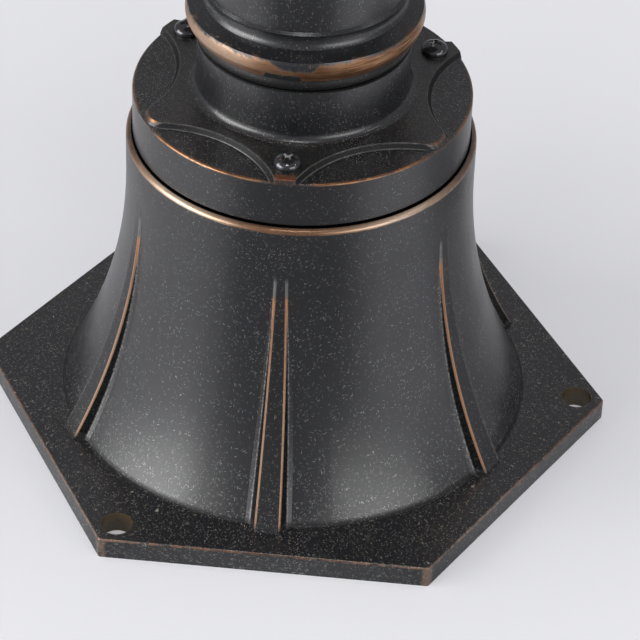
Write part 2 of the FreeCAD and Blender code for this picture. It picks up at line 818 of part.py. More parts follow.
def lamp():
    cap = shell_radius - shell_wall - lamp_cap_play
    cap_start = lamp_foot + lamp_tip_height
    cap_end = cap_start + lamp_cap_height
    centre = lamp_foot + lamp_length - lamp_globe_radius
    slant = math.radians(lamp_cheek_angle)
    cheek = point(lamp_globe_radius * math.cos(slant), centre - lamp_globe_radius * math.sin(slant))
    rise = cheek.z - cap_end
    throat = rise * lamp_throat_share
    neck = curve(point(cap, cap_end), point(cap, cap_end + rise * lamp_neck_share),
                 point(cheek.x - throat * math.tan(slant), cheek.z - throat), cheek)
    high = math.radians(45 - lamp_cheek_angle / 2)
    brow = point(lamp_globe_radius * math.cos(high), centre + lamp_globe_radius * math.sin(high))
    globe = Part.Arc(cheek, brow, point(0, lamp_foot + lamp_length))
    return turned(point(0, lamp_foot), point(lamp_tip_radius, lamp_foot), point(cap, cap_start),
                  point(cap, cap_end), neck, globe)


def pole_places():
    return [Vector(side * block_pole_pitch / 2, block_middle, 0) for side in (-1, 1)]


def terminal_block():
    near = block_middle - block_depth / 2
    half = block_length / 2
    body = slab(Vector(-half, near, block_under), Vector(half, block_far, shelf_under))
    cutters = [rod(fixing_radius + screw_way, block_under - over, shelf_under + over, block_place())]
    for place in pole_places():
        cutters.append(rod(block_well_radius, block_under - over, block_under + block_well_depth, place))
        mouth = Vector(place.x, near - over, shelf_under - 2 * block_entry_radius)
        cutters.append(Part.makeCylinder(block_entry_radius, block_depth + 2 * over, mouth, Vector(0, 1, 0)))
    return body.cut(cutters)


def terminal_screws():
    top = block_under + block_well_depth
    bottom = top - pole_screw_height
    wide = pole_screw_radius + over
    screws = []
    for place in pole_places():
        slot = slab(Vector(place.x - wide, place.y - recess_width / 2, bottom - over),
                    Vector(place.x + wide, place.y + recess_width / 2, bottom + recess_depth))
        screws.append(rod(pole_screw_radius, bottom, top, place).cut(slot))
    return screws


def block_screw():
    shank = rod(fixing_radius, block_under, shelf_under + fixing_depth - screw_bite, block_place())
    head = rod(fixing_head_radius, block_under - fixing_head_height, block_under, block_place())
    return shank.fuse(head).removeSplitter()


def earth_washer():
    return washer(earth_washer_radius, screw_radius + screw_way, earth_seat - earth_washer_thickness,
                  earth_washer_thickness, earth_place())


def earth_screw():
    seat = earth_seat - earth_washer_thickness
    return pan_screw(earth_screw_length, earth_place() + axis * seat, head_down=True)


nodes = {
    "base_casting": base_casting(),
    "cap_gasket": cap_gasket(),
    "cap_casting": cap_casting(),
    "cap_screws": Part.makeCompound(cap_screws()),
    "stem_casting": stem_casting(),
    "tie_tube": tie_tube(),
    "tie_washer": tie_washer(),
    "tie_nut": tie_nut(),
    "lantern_pan": lantern_pan(),
    "pan_washer": pan_washer(),
    "pan_nut": pan_nut(),
    "lantern_cage": lantern_cage(),
    "cage_screws": Part.makeCompound(cage_screws()),
    "glass_tabs": Part.makeCompound(glass_tabs()),
    "bridge_bar": bridge_bar(),
    "bridge_screws": Part.makeCompound(bridge_screws()),
    "roof_stud": roof_stud(),
    "stud_nuts": Part.makeCompound(stud_nuts()),
    "roof": roof(),
    "roof_seal": roof_seal(),
    "finial": finial(),
    "lampholder_body": lampholder_body(),
    "lampholder_shell": lampholder_shell(),
    "lampholder_contact": lampholder_contact(),
    "lamp": lamp(),
    "terminal_block": terminal_block(),
    "terminal_screws": Part.makeCompound(terminal_screws()),
    "block_screw": block_screw(),
    "earth_washer": earth_washer(),
    "earth_screw": earth_screw(),
}
for number in range(side_count):
    nodes["glass_pane_%d" % (number + 1)] = glass_pane(number)

os.makedirs("parts", exist_ok=True)
for name, shape in nodes.items():
    shape.exportStep("parts/%s.step" % name)
    print(name, "solids", len(shape.Solids), "valid", shape.isValid(), "volume", round(shape.Volume))
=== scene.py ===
import bpy
import json
import math
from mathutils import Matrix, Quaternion, Vector


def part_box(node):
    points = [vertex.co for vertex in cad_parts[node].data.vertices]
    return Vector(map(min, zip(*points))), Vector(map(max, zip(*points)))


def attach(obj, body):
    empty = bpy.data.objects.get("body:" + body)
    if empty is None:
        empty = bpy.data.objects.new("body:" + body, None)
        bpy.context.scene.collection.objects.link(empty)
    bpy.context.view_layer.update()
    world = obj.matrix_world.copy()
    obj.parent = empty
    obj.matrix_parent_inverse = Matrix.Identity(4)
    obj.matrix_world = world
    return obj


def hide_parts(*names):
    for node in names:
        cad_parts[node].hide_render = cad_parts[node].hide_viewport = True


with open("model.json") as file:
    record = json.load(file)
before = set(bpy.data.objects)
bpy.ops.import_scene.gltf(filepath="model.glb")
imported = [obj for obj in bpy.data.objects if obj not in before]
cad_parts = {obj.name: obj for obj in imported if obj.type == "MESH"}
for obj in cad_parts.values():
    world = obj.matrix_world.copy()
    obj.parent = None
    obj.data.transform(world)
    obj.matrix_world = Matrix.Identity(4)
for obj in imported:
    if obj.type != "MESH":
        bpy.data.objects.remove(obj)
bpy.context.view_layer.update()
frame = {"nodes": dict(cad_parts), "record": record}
nodes = frame["nodes"]
mm = 0.001
print("frame loaded,", len(nodes), "nodes")


def colour(code):  # sRGB hex to the linear colour that Blender wants
    parts = [int(code[k:k + 2], 16) / 255 for k in (1, 3, 5)]
    return [p / 12.92 if p <= 0.04045 else ((p + 0.055) / 1.055) ** 2.4 for p in parts] + [1.0]


def joinUp(tree, node, links):  # a socket is linked, a plain value is set
    for key, value in links.items():
        if isinstance(value, bpy.types.NodeSocket):
            tree.links.new(value, node.inputs[key])
        else:
            node.inputs[key].default_value = value


def addNode(tree, kind, links, out=0, **settings):  # adds one node and gives back one of its outputs
    node = tree.nodes.new("ShaderNode" + kind)
    for name, value in settings.items():
        setattr(node, name, value)
    joinUp(tree, node, links)
    return node.outputs[out]


def newMaterial(name, **sockets):
    material = bpy.data.materials.new(name)
    material.use_nodes = True
    tree = material.node_tree
    shader = tree.nodes["Principled BSDF"]
    joinUp(tree, shader, {key.replace("_", " "): value for key, value in sockets.items()})
    return material, tree, shader


def placeOn(tree):  # where a point lies, in mm, its direction round the axis, and how flat it lies
    metres = addNode(tree, "TexCoord", {}, "Object")
    point = addNode(tree, "VectorMath", {0: metres, "Scale": 1 / mm}, operation="SCALE")
    side, depth, height = addNode(tree, "SeparateXYZ", {0: point}).node.outputs
    flat = addNode(tree, "VectorMath", {0: point, 1: (1, 1, 0)}, operation="MULTIPLY")
    radius = addNode(tree, "VectorMath", {0: flat}, "Value", operation="LENGTH")
    turn = addNode(tree, "Math", {0: depth, 1: side}, operation="ARCTAN2")
    lying = addNode(tree, "SeparateXYZ", {0: addNode(tree, "NewGeometry", {}, "Normal")}, "Z")
    return {"point": point, "side": side, "depth": depth, "height": height, "radius": radius, "turn": turn,
            "lying": lying}


def patchWhere(tree, *limits, blend="LINEAR"):
    # A patch of rubbed paint, painted highlight or painted shade, full where every limit is passed. A limit
    # is another patch, or a value with the start and end of its run, and the strengths there if they aren't 0
    # and 1.
    patch = None
    for limit in limits:
        if isinstance(limit, tuple):
            value, start, end, *strengths = limit
            low, high = strengths or (0.0, 1.0)
            limit = addNode(tree, "MapRange", {0: value, 1: start, 2: end, 3: low, 4: high},
                            interpolation_type=blend)
        patch = limit if patch is None else addNode(tree, "Math", {0: patch, 1: limit}, operation="MULTIPLY")
    return patch


def besideNearest(tree, place, firstTurn, count):
    # How far out a point lies along the nearest of some directions, how far beside it, and that with its sign
    half = math.pi / count
    away = addNode(tree, "Math", {0: place["turn"], 1: math.radians(firstTurn)}, operation="SUBTRACT")
    local = addNode(tree, "Math", {0: away, 1: half, 2: -half}, operation="WRAP")
    share = addNode(tree, "Math", {0: local}, operation="COSINE")
    out = addNode(tree, "Math", {0: place["radius"], 1: share}, operation="MULTIPLY")
    slant = addNode(tree, "Math", {0: local}, operation="SINE")
    signed = addNode(tree, "Math", {0: place["radius"], 1: slant}, operation="MULTIPLY")
    beside = addNode(tree, "Math", {0: signed}, operation="ABSOLUTE")
    return {"out": out, "beside": beside, "signed": signed}


def fromNearest(tree, place, firstTurn, count, circle):
    # Distance from the nearest of some axes on a circle, and how far beyond the circle
    nearest = besideNearest(tree, place, firstTurn, count)
    beyond = addNode(tree, "Math", {0: nearest["out"], 1: circle}, operation="SUBTRACT")
    reach = addNode(tree, "CombineXYZ", {0: beyond, 1: nearest["beside"]})
    reach = addNode(tree, "VectorMath", {0: reach}, "Value", operation="LENGTH")
    return {"reach": reach, "beyond": beyond}


def nearTurns(tree, place, turns, spread):  # 1 at each direction, falling to 0 at the spread, in degrees
    near = 0.0
    for turn in turns:
        away = addNode(tree, "Math", {0: place["turn"], 1: math.radians(turn)}, operation="SUBTRACT")
        away = addNode(tree, "Math", {0: away}, operation="ABSOLUTE")
        spot = patchWhere(tree, (away, math.radians(spread), 0.0), blend="SMOOTHSTEP")
        near = addNode(tree, "Math", {0: near, 1: spot}, operation="MAXIMUM")
    return near


# Satin charcoal paint on cast aluminium: dark and soft-glossy, flecked with bare metal and rubbed to copper
# along its edges
paint = {
    "ground": "#17181a", "cloud": "#202124", "cloudSize": 22, "cloudRun": (0.3, 0.7), "ior": 1.9,
    "roughness": (0.34, 0.26), "peelSize": 1.6, "peelDepth": 0.01, "peelStrength": 0.4,
    # flecks: strokes and dots, crowded in drifts and towards the plate
    "lying": (0.7, 0.95), "driftSize": 11, "driftCrowd": (0.35, 0.65, 0.0, 0.05),
    "lowCrowd": (28, 9, 0.0, 0.12),
    "stroke": (1.6, 0.24, 2.0), "strokeLeans": (38, 97, 161), "strokeEdge": (0.4, 0.15), "strokeLimit": 1.02,
    "strokeShare": 0.095, "strokeLying": -0.14, "strokeTone": (0.15, 1.1), "unrolled": 60,
    "bendSize": 1.6, "bend": 0.8, "dotSize": 0.41, "dotEdge": (0.42, 0.18), "dotLimit": 0.985,
    "dotTone": (0.2, 0.95), "fleckPale": "#c6c6c2", "fleckTan": "#948062", "tanLying": (0.1, 1.1),
    "fleckRoughness": 0.36, "fleckMetal": (0.85, 0.15), "fleckRelief": 0.6,
    # copper under the black, and what lies on it; the paler sheen tone and the grey are painted highlights,
    # the near-black a painted shade
    "brushSize": 2.2, "stainSize": 9, "copper": "#9d6d4a", "copperPale": "#d8ae8a", "paintedSheenTone": "#e9ccb0",
    "copperRun": (0.35, 0.75, 0.0, 0.5), "copperRoughness": 0.31, "copperMetal": (0.95, 0.6),
    "gilt": "#d48f61", "giltPale": "#e4b491", "giltLow": (78, 40), "giltLeft": (40, 15, 0.3, 1.0),
    "giltMetal": 0.5,
    "ember": "#9c5a3c", "emberMetal": 0.2, "highlightGrey": "#9b9c99", "paintedShadeAndStreaks": "#0a0a0b", "paintedShadeAndStreaksRoughness": 0.7,
}


def paintedCasting(name, masksOf, strokeCrowd, lyingSpecks, extra=None):
    material, tree, shader = newMaterial(name, IOR=paint["ior"])
    place = placeOn(tree)
    point, height = place["point"], place["height"]
    cloud = addNode(tree, "TexNoise", {"Vector": point, "Scale": 1 / paint["cloudSize"], "Detail": 4.0})
    cloud = patchWhere(tree, (cloud, *paint["cloudRun"]))
    ground = addNode(tree, "Mix", {0: cloud, 6: colour(paint["ground"]), 7: colour(paint["cloud"])}, 2,
                     data_type="RGBA")
    lying = patchWhere(tree, (place["lying"], *paint["lying"]), blend="SMOOTHSTEP")
    drift = addNode(tree, "TexNoise", {"Vector": point, "Scale": 1 / paint["driftSize"], "Detail": 2.0})
    drift = patchWhere(tree, (drift, *paint["driftCrowd"]))
    low = patchWhere(tree, (height, *paint["lowCrowd"]))
    crowd = addNode(tree, "Math", {0: drift, 1: low}, operation="ADD")
    sparse = addNode(tree, "Math", {0: lying, 1: paint["strokeLying"], 2: crowd}, operation="MULTIPLY_ADD")
    # thin strokes of bare metal in three directions, bent a little
    unrolled = addNode(tree, "Math", {0: place["turn"], 1: paint["unrolled"]}, operation="MULTIPLY")
    unrolled = addNode(tree, "CombineXYZ", {0: unrolled, 1: height, 2: place["radius"]})
    wobble = addNode(tree, "TexNoise", {"Vector": point, "Scale": 1 / paint["bendSize"], "Detail": 0.0},
                     "Color")
    wobble = addNode(tree, "VectorMath", {0: wobble, 1: (0.5, 0.5, 0.5)}, operation="SUBTRACT")
    bent = addNode(tree, "VectorMath", {0: wobble, 1: [paint["bend"]] * 3, 2: unrolled},
                   operation="MULTIPLY_ADD")
    strokeLimit = paint["strokeLimit"] - paint["strokeShare"] * strokeCrowd
    flecks = 0.0
    for lean in paint["strokeLeans"]:
        laid = addNode(tree, "Mapping", {"Vector": bent, "Rotation": (0, 0, math.radians(lean)),
                                         "Scale": paint["stroke"]}, vector_type="TEXTURE")
        cell = addNode(tree, "TexVoronoi", {"Vector": laid, "Scale": 1.0}).node
        stroke = patchWhere(tree, (cell.outputs["Distance"], *paint["strokeEdge"]), blend="SMOOTHSTEP")
        pick = addNode(tree, "SeparateColor", {0: cell.outputs["Color"]}).node
        chance = addNode(tree, "Math", {0: sparse, 1: pick.outputs[0]}, operation="ADD")
        kept = addNode(tree, "Math", {0: chance, 1: strokeLimit}, operation="GREATER_THAN")
        strength = addNode(tree, "Math", {0: pick.outputs[1], 1: pick.outputs[2]}, operation="MULTIPLY")
        stroke = patchWhere(tree, stroke, kept, (strength, 0.0, 1.0, *paint["strokeTone"]))
        flecks = addNode(tree, "Math", {0: flecks, 1: stroke}, operation="MAXIMUM")
    # small round specks, most of them on surfaces that lie flat
    cell = addNode(tree, "TexVoronoi", {"Vector": point, "Scale": 1 / paint["dotSize"]}).node
    dot = patchWhere(tree, (cell.outputs["Distance"], *paint["dotEdge"]), blend="SMOOTHSTEP")
    pick = addNode(tree, "SeparateColor", {0: cell.outputs["Color"]}).node
    chance = addNode(tree, "Math", {0: lying, 1: lyingSpecks, 2: pick.outputs[0]}, operation="MULTIPLY_ADD")
    chance = addNode(tree, "Math", {0: crowd, 1: chance}, operation="ADD")
    kept = addNode(tree, "Math", {0: chance, 1: paint["dotLimit"]}, operation="GREATER_THAN")
    dot = patchWhere(tree, dot, kept, (pick.outputs[1], 0.0, 1.0, *paint["dotTone"]))
    flecks = addNode(tree, "Math", {0: flecks, 1: dot}, operation="MAXIMUM")
    tan = patchWhere(tree, (lying, 0.0, 1.0, *paint["tanLying"]), pick.outputs[2])
    fleckTone = addNode(tree, "Mix", {0: tan, 6: colour(paint["fleckPale"]), 7: colour(paint["fleckTan"])}, 2,
                        data_type="RGBA")
    # copper where edges lost their black, gilt on sharp ones, red-brown at thick spots; painted highlights as
    # pale copper sheen and grey lines, and painted shade as near-black
    brush = addNode(tree, "TexNoise", {"Vector": point, "Scale": 1 / paint["brushSize"], "Detail": 4.0,
                                       "Roughness": 0.65})
    stain = addNode(tree, "TexNoise", {"Vector": point, "Scale": 1 / paint["stainSize"], "Detail": 3.0,
                                       "Roughness": 0.6})
    masks = {"paintedSheen": 0.0, "gilt": 0.0, "ember": 0.0, "paintedHighlights": 0.0, "paintedShadeAndStreaks": 0.0}
    masks.update(masksOf(tree, place, brush, stain))
    worn = patchWhere(tree, (height, *paint["giltLow"]), (place["side"], *paint["giltLeft"]))
    gilt = addNode(tree, "Mix", {0: worn, 6: colour(paint["gilt"]), 7: colour(paint["giltPale"])}, 2,
                   data_type="RGBA")
    copper = colour(paint["copper"])
    for mask, coat in ((patchWhere(tree, (stain, *paint["copperRun"])), colour(paint["copperPale"])),
                       (masks["paintedSheen"], colour(paint["paintedSheenTone"])),
                       (masks["gilt"], gilt),
                       (masks["ember"], colour(paint["ember"]))):
        copper = addNode(tree, "Mix", {0: mask, 6: copper, 7: coat}, 2, data_type="RGBA")
    tone = ground
    for mask, coat in ((flecks, fleckTone),
                       (masks["paintedHighlights"], colour(paint["highlightGrey"])),
                       (masks["rub"], copper),
                       (masks["paintedShadeAndStreaks"], colour(paint["paintedShadeAndStreaks"]))):
        tone = addNode(tree, "Mix", {0: mask, 6: tone, 7: coat}, 2, data_type="RGBA")
    if extra is not None:
        tone = extra(tree, place, tone)
    rough = patchWhere(tree, (cloud, 0.0, 1.0, *paint["roughness"]))
    for mask, value in ((flecks, paint["fleckRoughness"]),
                        (masks["rub"], paint["copperRoughness"]),
                        (masks["paintedShadeAndStreaks"], paint["paintedShadeAndStreaksRoughness"])):
        rough = addNode(tree, "Mix", {0: mask, 2: rough, 3: value})
    bare = patchWhere(tree, (masks["paintedSheen"], 0.0, 1.0, *paint["copperMetal"]))
    for mask, value in ((masks["ember"], paint["emberMetal"]), (masks["gilt"], paint["giltMetal"])):
        bare = addNode(tree, "Mix", {0: mask, 2: bare, 3: value})
    bare = patchWhere(tree, masks["rub"], bare)
    metal = patchWhere(tree, flecks, (lying, 0.0, 1.0, *paint["fleckMetal"]))
    for mask in (bare, masks["paintedShadeAndStreaks"]):  # as black metal, the painted shade mirrors next to nothing
        metal = addNode(tree, "Math", {0: metal, 1: mask}, operation="MAXIMUM")
    peel = addNode(tree, "TexNoise", {"Vector": point, "Scale": 1 / paint["peelSize"], "Detail": 2.0})
    relief = addNode(tree, "Math", {0: flecks, 1: paint["fleckRelief"], 2: peel}, operation="MULTIPLY_ADD")
    bump = addNode(tree, "Bump", {"Strength": paint["peelStrength"], "Distance": paint["peelDepth"] * mm,
                                  "Height": relief})
    joinUp(tree, shader, {"Base Color": tone, "Roughness": rough, "Metallic": metal, "Normal": bump})
    return material


# Foot: rubbed on the bell's rim, along the edges of the ribs and, thinly, round the plate, with painted
# highlights and painted shade
plateTop = 7.0
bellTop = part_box("base_casting")[1].z / mm
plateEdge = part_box("base_casting")[1].y / mm
foot = {
    "firstSide": 30, "sides": 6,  # the ribs stand over the middles of the plate's sides
    "rimWander": 0.8, "rimBorder": (bellTop - 1.25, bellTop - 0.8), "rimLip": (50.75, 50.95),
    "rimSmooth": (0.3, 0.45, 0.75, 1.0), "rimFront": (-18, -34, 0.35, 1.0), "rimShaded": (0.0, 1.0, 1.0, 0.7),
    "joint": (50.75, 50.55), "jointFoot": bellTop - 1.0,
    "shadedTurns": (-88,), "sheenTurns": (-128, -48), "sheenSpread": 34,
    "ribFootWidth": 7.4, "ribTopWidth": 2.0, "ribRun": (plateTop + 80, plateTop), "ribRise": (4.2, -0.8),
    "flankRun": 0.55, "abovePlate": (plateTop + 0.3, plateTop + 2.5),
    "swell": (66, 75, 0.0, 0.5), "lineInner": (-0.42, -0.22), "lineOuter": (0.4, 0.18), "startWander": 6,
    "lineStart": (81.5, 79), "lineWorn": (0.25, 0.5, 0.65, 1.0), "facingFront": (0.5, 0.3, 0.06, 1.0),
    "rearRibs": (10, -10, 0.3, 1.0), "greyLine": (84.5, 82.5, 0.0, 0.4),
    "grainSize": 0.7, "flankFoot": (-0.12, -0.3), "flankHead": (0.0, 0.15),
    "flankGrain": (0.62, 0.4, 0.68, 0.85),
    "crest": (-0.44, -0.84, 0.0, 0.3), "crestRun": (0.05, 0.25),
    "filletHighlight": (0.24, 0.08), "filletHighlightRun": (0.1, 0.3, 0.0, 0.55), "filletHighlightGrain": (0.42, 0.6),
    "plateLine": (plateEdge - 0.5, plateEdge - 0.15, 0.0, 0.7),
    "plateUpper": (plateTop - 0.8, plateTop - 0.4),
    "corner": (97, 97.6, 0.0, 0.385), "chipped": (0.36, 0.6),
    "crease": (plateTop + 1.6, plateTop + 0.7, 0.0, 0.45), "creaseFoot": (plateTop + 0.02, plateTop + 0.1),
    "holeReach": 4.83, "holeCircle": 89.5, "holeFirst": 0, "holes": 3, "holeTone": "#5c4d30",
}


def footMasks(tree, place, brush, stain):
    height, radius, depth = place["height"], place["radius"], place["depth"]
    # the rim's lip, with a wandering lower border and less copper at the front as painted shade, and painted
    # shade as a black joint behind it
    wavy = addNode(tree, "Math", {0: stain, 1: foot["rimWander"], 2: height}, operation="MULTIPLY_ADD")
    shadedTurns = nearTurns(tree, place, foot["shadedTurns"], foot["sheenSpread"])
    rim = patchWhere(tree, (wavy, *foot["rimBorder"]), (radius, *foot["rimLip"]), (stain, *foot["rimSmooth"]),
                     (depth, *foot["rimFront"]), (shadedTurns, *foot["rimShaded"]))
    high = addNode(tree, "Math", {0: height, 1: foot["jointFoot"]}, operation="GREATER_THAN")
    joint = patchWhere(tree, (radius, *foot["joint"]), high)
    # the edges of each rib, gilt in a thin line that swells a little where it begins
    rib = besideNearest(tree, place, foot["firstSide"], foot["sides"])
    half = addNode(tree, "MapRange", {0: height, 1: plateTop, 2: bellTop, 3: foot["ribFootWidth"] / 2,
                                      4: foot["ribTopWidth"] / 2})
    gap = addNode(tree, "Math", {0: rib["beside"], 1: half}, operation="SUBTRACT")
    swell = patchWhere(tree, (height, *foot["swell"]), stain)
    narrow = addNode(tree, "Math", {0: gap, 1: swell}, operation="SUBTRACT")
    edge = patchWhere(tree, (gap, *foot["lineInner"]), (narrow, *foot["lineOuter"]), blend="SMOOTHSTEP")
    wander = addNode(tree, "Math", {0: stain, 1: foot["startWander"], 2: height}, operation="MULTIPLY_ADD")
    above = patchWhere(tree, (height, *foot["abovePlate"]))
    # of the side ribs only the edge that faces the front is rubbed, and the rear ribs are rubbed less
    along = addNode(tree, "Math", {0: place["side"], 1: rib["out"]}, operation="MULTIPLY")
    along = addNode(tree, "Math", {0: depth, 1: rib["signed"], 2: along}, operation="MULTIPLY_ADD")
    across = addNode(tree, "Math", {0: radius, 1: radius}, operation="MULTIPLY")
    along = addNode(tree, "Math", {0: along, 1: across}, operation="DIVIDE")
    hand = addNode(tree, "Math", {0: rib["signed"]}, operation="SIGN")
    hand = addNode(tree, "Math", {0: hand, 1: along}, operation="MULTIPLY")
    near = patchWhere(tree, (hand, *foot["facingFront"]))
    line = patchWhere(tree, edge, (wander, *foot["lineStart"]), above, (brush, *foot["lineWorn"]), near,
                      (depth, *foot["rearRibs"]))
    # painted shade: black flanks and a darker crest; painted highlight: a grainy grey line in the fillet at
    # their foot
    share = patchWhere(tree, (height, *foot["ribRun"]))
    first, second = foot["ribRise"]
    rise = addNode(tree, "Math", {0: share, 1: second, 2: first}, operation="MULTIPLY_ADD")
    rise = addNode(tree, "Math", {0: rise, 1: share}, operation="MULTIPLY")
    away = addNode(tree, "Math", {0: rise, 1: -foot["flankRun"], 2: gap}, operation="MULTIPLY_ADD")
    grains = addNode(tree, "TexNoise", {"Vector": place["point"], "Scale": 1 / foot["grainSize"],
                                        "Detail": 1.0})
    flank = patchWhere(tree, (away, *foot["flankFoot"]), (gap, *foot["flankHead"]), above,
                       (grains, *foot["flankGrain"]))
    crest = patchWhere(tree, (gap, *foot["crest"]), (share, *foot["crestRun"]), above)
    apart = addNode(tree, "Math", {0: away}, operation="ABSOLUTE")
    filletHighlight = patchWhere(tree, (apart, *foot["filletHighlight"]), blend="SMOOTHSTEP")
    filletHighlight = patchWhere(tree, filletHighlight, (share, *foot["filletHighlightRun"]), (grains, *foot["filletHighlightGrain"]), near, above)
    # painted highlight: a grey line along the ribs' edges
    grey = patchWhere(tree, edge, (height, *foot["greyLine"]), above, near)
    paintedHighlights = addNode(tree, "Math", {0: filletHighlight, 1: grey}, operation="MAXIMUM")
    # a thin copper line round the plate's top edge, and its corners
    chipped = patchWhere(tree, (brush, *foot["chipped"]))
    border = patchWhere(tree, (rib["out"], *foot["plateLine"]), (height, *foot["plateUpper"]), chipped)
    corner = patchWhere(tree, (radius, *foot["corner"]), chipped)
    plate = addNode(tree, "Math", {0: border, 1: corner}, operation="MAXIMUM")
    # painted shade in the crease where the bell stands on the plate, on the flanks and the crest but not on
    # the gilt line, and in the rim's joint
    paintedShadeAndStreaks = patchWhere(tree, (height, *foot["crease"]), (height, *foot["creaseFoot"]))
    for mask in (flank, crest):
        paintedShadeAndStreaks = addNode(tree, "Math", {0: paintedShadeAndStreaks, 1: mask}, operation="MAXIMUM")
    paintedShadeAndStreaks = addNode(tree, "Math", {0: paintedShadeAndStreaks, 1: line}, operation="SUBTRACT", use_clamp=True)
    paintedShadeAndStreaks = addNode(tree, "Math", {0: paintedShadeAndStreaks, 1: joint}, operation="MAXIMUM")
    rub = rim
    for mask in (line, plate):
        rub = addNode(tree, "Math", {0: rub, 1: mask}, operation="MAXIMUM")
    # painted highlight: paler copper at the left-front and right-front
    paintedSheen = nearTurns(tree, place, foot["sheenTurns"], foot["sheenSpread"])
    return {"rub": rub, "paintedSheen": paintedSheen, "gilt": line, "ember": plate, "paintedHighlights": paintedHighlights, "paintedShadeAndStreaks": paintedShadeAndStreaks}


def holeWalls(tree, place, tone):  # bare, oxidised metal inside the three ground-bolt holes
    hole = fromNearest(tree, place, foot["holeFirst"], foot["holes"], foot["holeCircle"])
    inside = addNode(tree, "Math", {0: hole["reach"], 1: foot["holeReach"]}, operation="LESS_THAN")
    return addNode(tree, "Mix", {0: inside, 6: tone, 7: colour(foot["holeTone"])}, 2, data_type="RGBA")


# Cap: rubbed along the crescents of its edge, on the front tip of the star and on the hooks of the free tips,
# with painted highlight lines on the star's wall and painted shade in its corners and on the neck's edge
ledge = 116.5
starTop = 118.0
cap = {
    "front": (-8, -20), "fainter": (0.0, 1.0, 0.45, 1.0), "worn": (0.32, 0.5, 0.25, 1.0),
    "edgeBand": (ledge - 0.8, ledge - 0.45), "edgeRadius": (49.4, 49.7),
    "tipFirst": 30, "tips": 6, "tipClear": (6.0, 9.5, 0.15, 1.0),
    "screwFirst": -90, "screws": 3, "tipWander": 1.4, "tipEnd": (48.3, 48.9), "tipHalf": (3.3, 2.7),
    "tipTop": (starTop - 0.7, starTop - 0.3), "mottled": (0.35, 0.6, 0.45, 0.95),
    "hookFirst": 90, "hookEnd": (44.5, 47), "hookHalf": (4.5, 2.5), "hookRound": (0.995, 0.93),
    "hookTop": (ledge + 0.5, ledge + 0.9), "hookRight": (10, 20, 1.0, 0.35),
    "scallopFirst": 0, "scallopCentre": 72.3, "scallopLines": (35.5, 34.3), "greyLine": (0.34, 0.05),
    "greyUpper": (ledge - 0.3, ledge - 0.1, 0.0, 0.32), "greyPatchy": (0.35, 0.6, 0.25, 1.0),
    "wallHead": (35.55, 35.35), "wallFoot": (34.25, 34.45),
    "wallSteep": (ledge + 0.05, ledge + 0.2, 0.0, 0.6),
    "neckJoint": (134.3, 134.7, 0.0, 0.8),
}


def capMasks(tree, place, brush, stain):
    height = place["height"]
    front = patchWhere(tree, (place["depth"], *cap["front"]))
    fainter = patchWhere(tree, (front, *cap["fainter"]))
    worn = patchWhere(tree, (stain, *cap["worn"]))
    star = besideNearest(tree, place, cap["tipFirst"], cap["tips"])
    rub = patchWhere(tree, (height, *cap["edgeBand"]), (place["radius"], *cap["edgeRadius"]),
                     (star["beside"], *cap["tipClear"]), worn, fainter)
    # red-brown patch where the screwed tip meets the edge
    screwed = besideNearest(tree, place, cap["screwFirst"], cap["screws"])
    spread = addNode(tree, "Math", {0: brush, 1: cap["tipWander"], 2: screwed["out"]},
                     operation="MULTIPLY_ADD")
    tip = patchWhere(tree, (spread, *cap["tipEnd"]), (screwed["beside"], *cap["tipHalf"]),
                     (height, *cap["tipTop"]), front, (brush, *cap["mottled"]))
    # pale copper on the rounded end of a free tip
    free = besideNearest(tree, place, cap["hookFirst"], cap["screws"])
    hook = patchWhere(tree, (free["out"], *cap["hookEnd"]), (free["beside"], *cap["hookHalf"]),
                      (place["lying"], *cap["hookRound"]), (height, *cap["hookTop"]), worn,
                      (place["side"], *cap["hookRight"]))
    for mask in (hook, tip):
        rub = addNode(tree, "Math", {0: rub, 1: mask}, operation="MAXIMUM")
    # painted highlights: grey lines along the head and the foot of the star's wall
    scallop = fromNearest(tree, place, cap["scallopFirst"], cap["tips"], cap["scallopCentre"])
    away = scallop["reach"]
    paintedHighlights = 0.0
    for radius in cap["scallopLines"]:
        apart = addNode(tree, "Math", {0: away, 1: radius}, operation="SUBTRACT")
        apart = addNode(tree, "Math", {0: apart}, operation="ABSOLUTE")
        line = patchWhere(tree, (apart, *cap["greyLine"]), blend="SMOOTHSTEP")
        paintedHighlights = addNode(tree, "Math", {0: paintedHighlights, 1: line}, operation="MAXIMUM")
    paintedHighlights = patchWhere(tree, paintedHighlights, (height, *cap["greyUpper"]), (brush, *cap["greyPatchy"]), fainter)
    # painted shade: black between them, where the wall stands in its own corner, and on the neck's edge under
    # the stem
    wall = patchWhere(tree, (away, *cap["wallHead"]), (away, *cap["wallFoot"]), (height, *cap["wallSteep"]))
    wall = addNode(tree, "Math", {0: wall, 1: paintedHighlights}, operation="SUBTRACT", use_clamp=True)
    joint = patchWhere(tree, (height, *cap["neckJoint"]))
    paintedShadeAndStreaks = addNode(tree, "Math", {0: wall, 1: joint}, operation="MAXIMUM")
    return {"rub": rub, "ember": tip, "paintedHighlights": paintedHighlights, "paintedShadeAndStreaks": paintedShadeAndStreaks}


